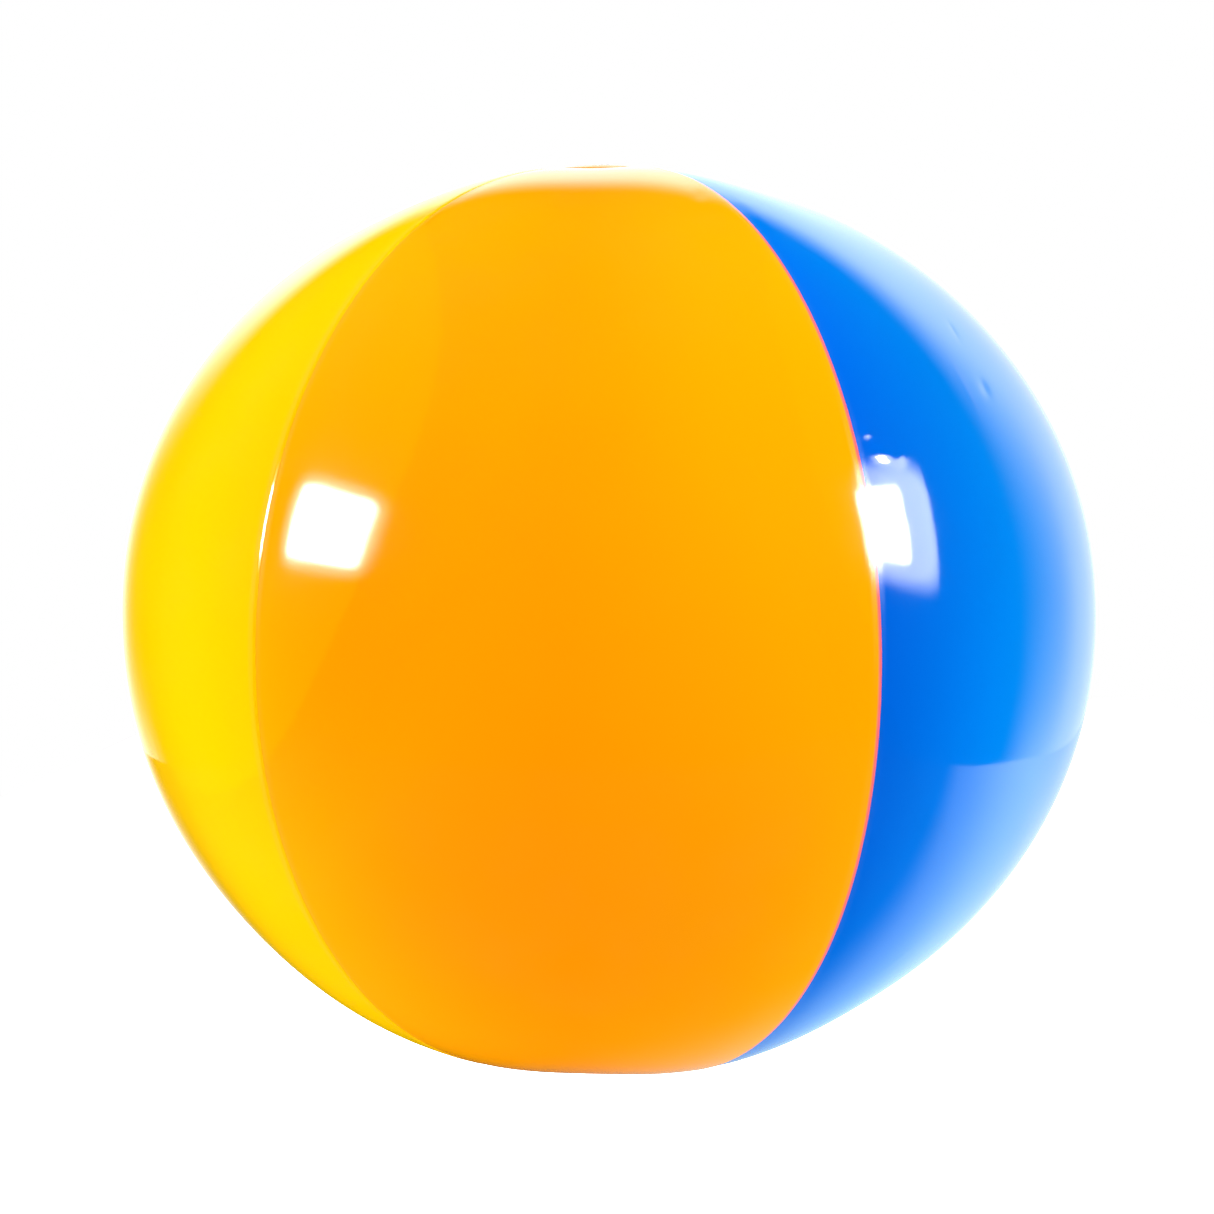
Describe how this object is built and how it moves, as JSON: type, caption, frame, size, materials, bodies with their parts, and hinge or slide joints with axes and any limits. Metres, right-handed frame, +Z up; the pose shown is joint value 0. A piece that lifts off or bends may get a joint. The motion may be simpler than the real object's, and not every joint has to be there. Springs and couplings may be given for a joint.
{
  "type": "inflatable beach ball",
  "caption": "Inflated ball of welded vinyl gores in yellow, orange and blue, closed by round end discs, with a push-in air valve, check flap and plug on a folded strap.",
  "frame": {"origin": "middle of the flat face of the bottom end disc, which the ball rests on", "axes": "+Z up along the ball's axis through both end discs, to the valve; the front gore faces -Y and two seams lie at +X and -X"},
  "size_m": [0.3456, 0.33, 0.3182],
  "materials": {
    "film_orange": "glossy, taut vinyl film",
    "film_blue": "glossy, taut vinyl film",
    "film_yellow": "glossy, taut vinyl film",
    "film_disc": "glossy vinyl film with a welded rim",
    "valve_vinyl": "soft milky moulded vinyl"
  },
  "bodies": {
    "ball": {"gore_front_orange": "film_orange", "gore_right_blue": "film_blue", "gore_right_yellow": "film_yellow", "gore_back_orange": "film_orange", "gore_left_blue": "film_blue", "gore_left_yellow": "film_yellow", "top_disc": "film_disc", "bottom_disc": "film_disc", "valve_flange": "valve_vinyl", "valve_collar": "valve_vinyl"},
    "stem": {"valve_stem": "valve_vinyl"},
    "flap": {"check_flap": "valve_vinyl"},
    "strap_inner": {"strap_lower": "valve_vinyl"},
    "strap_outer": {"strap_upper": "valve_vinyl"},
    "plug": {"valve_plug": "valve_vinyl"}
  },
  "joints": [
    {"name": "stem_pull_out", "type": "slide", "parent": "ball", "child": "stem", "axis": [0, 0, 1], "range_m": [0, 0.012], "deforming": ["valve_collar"]},
    {"name": "flap_open", "type": "hinge", "parent": "stem", "child": "flap", "pos_m": [0.0045, 0, 0.30775], "axis": [0, -1, 0], "range_deg": [0, 60], "stiffness_Nm_per_rad": 0.00005, "springref_deg": -17.19},
    {"name": "strap_lift", "type": "hinge", "parent": "stem", "child": "strap_inner", "pos_m": [0.0072, 0, 0.31685], "axis": [0, -1, 0], "range_deg": [0, 85]},
    {"name": "strap_unfold", "type": "hinge", "parent": "strap_inner", "child": "strap_outer", "pos_m": [0.0142, 0, 0.31725], "axis": [0, 1, 0], "range_deg": [0, 170]},
    {"name": "plug_tip", "type": "hinge", "parent": "strap_outer", "child": "plug", "pos_m": [0.0072, 0, 0.31765], "axis": [0, -1, 0], "range_deg": [0, 42.5]}
  ],
  "couplings": [
    {"joint": "strap_unfold", "follows": "strap_lift", "ratio": 2},
    {"joint": "plug_tip", "follows": "strap_lift", "ratio": 0.5}
  ]
}
